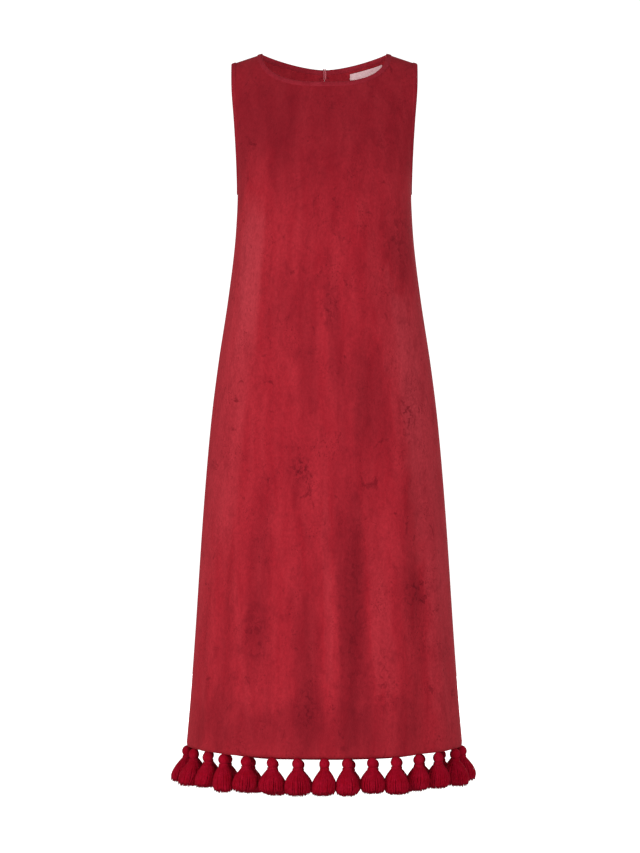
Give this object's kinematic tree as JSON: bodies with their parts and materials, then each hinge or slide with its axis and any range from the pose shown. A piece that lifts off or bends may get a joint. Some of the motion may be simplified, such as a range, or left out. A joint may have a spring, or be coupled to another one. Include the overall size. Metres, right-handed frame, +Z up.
{
  "type": "sleeveless sarafan dress with a tasselled hem",
  "caption": "Sleeveless A-line midi dress in towelling velour, worn form with open neck, armholes and hem, bound edges, a back slit with button and loop, and tassels round the hem.",
  "frame": {"origin": "midway between the shoulders, under the shoulder seams", "axes": "+X the viewer's right seen from the front, -Y the front, +Z up"},
  "size_m": [0.4868, 0.3077, 1.2417],
  "materials": {
    "velour": "cut pile towelling velour, soft sheen",
    "binding": "folded bias strip of the same cloth",
    "tassel_yarn": "soft cotton yarn",
    "label": "bare woven ribbon",
    "button": "smooth dyed plastic"
  },
  "bodies": {
    "root": {"armhole_binding_left": "binding", "armhole_binding_right": "binding", "back_left": "velour", "back_left_top": "velour", "back_right": "velour", "back_right_top": "velour", "button": "button", "button_loop": "button", "front_panel": "velour", "front_panel_top": "velour", "neck_binding": "binding", "neck_label": "label", "slit_facing_left": "velour", "slit_facing_right": "velour", "tassel_01": "tassel_yarn", "tassel_02": "tassel_yarn", "tassel_03": "tassel_yarn", "tassel_04": "tassel_yarn", "tassel_05": "tassel_yarn", "tassel_06": "tassel_yarn", "tassel_07": "tassel_yarn", "tassel_08": "tassel_yarn", "tassel_09": "tassel_yarn", "tassel_10": "tassel_yarn", "tassel_11": "tassel_yarn", "tassel_12": "tassel_yarn", "tassel_13": "tassel_yarn", "tassel_14": "tassel_yarn", "tassel_15": "tassel_yarn", "tassel_16": "tassel_yarn", "tassel_17": "tassel_yarn", "tassel_18": "tassel_yarn", "tassel_19": "tassel_yarn", "tassel_20": "tassel_yarn", "tassel_21": "tassel_yarn", "tassel_22": "tassel_yarn", "tassel_23": "tassel_yarn", "tassel_24": "tassel_yarn", "tassel_25": "tassel_yarn", "tassel_26": "tassel_yarn", "tassel_27": "tassel_yarn", "tassel_28": "tassel_yarn"}
  },
  "joints": []
}
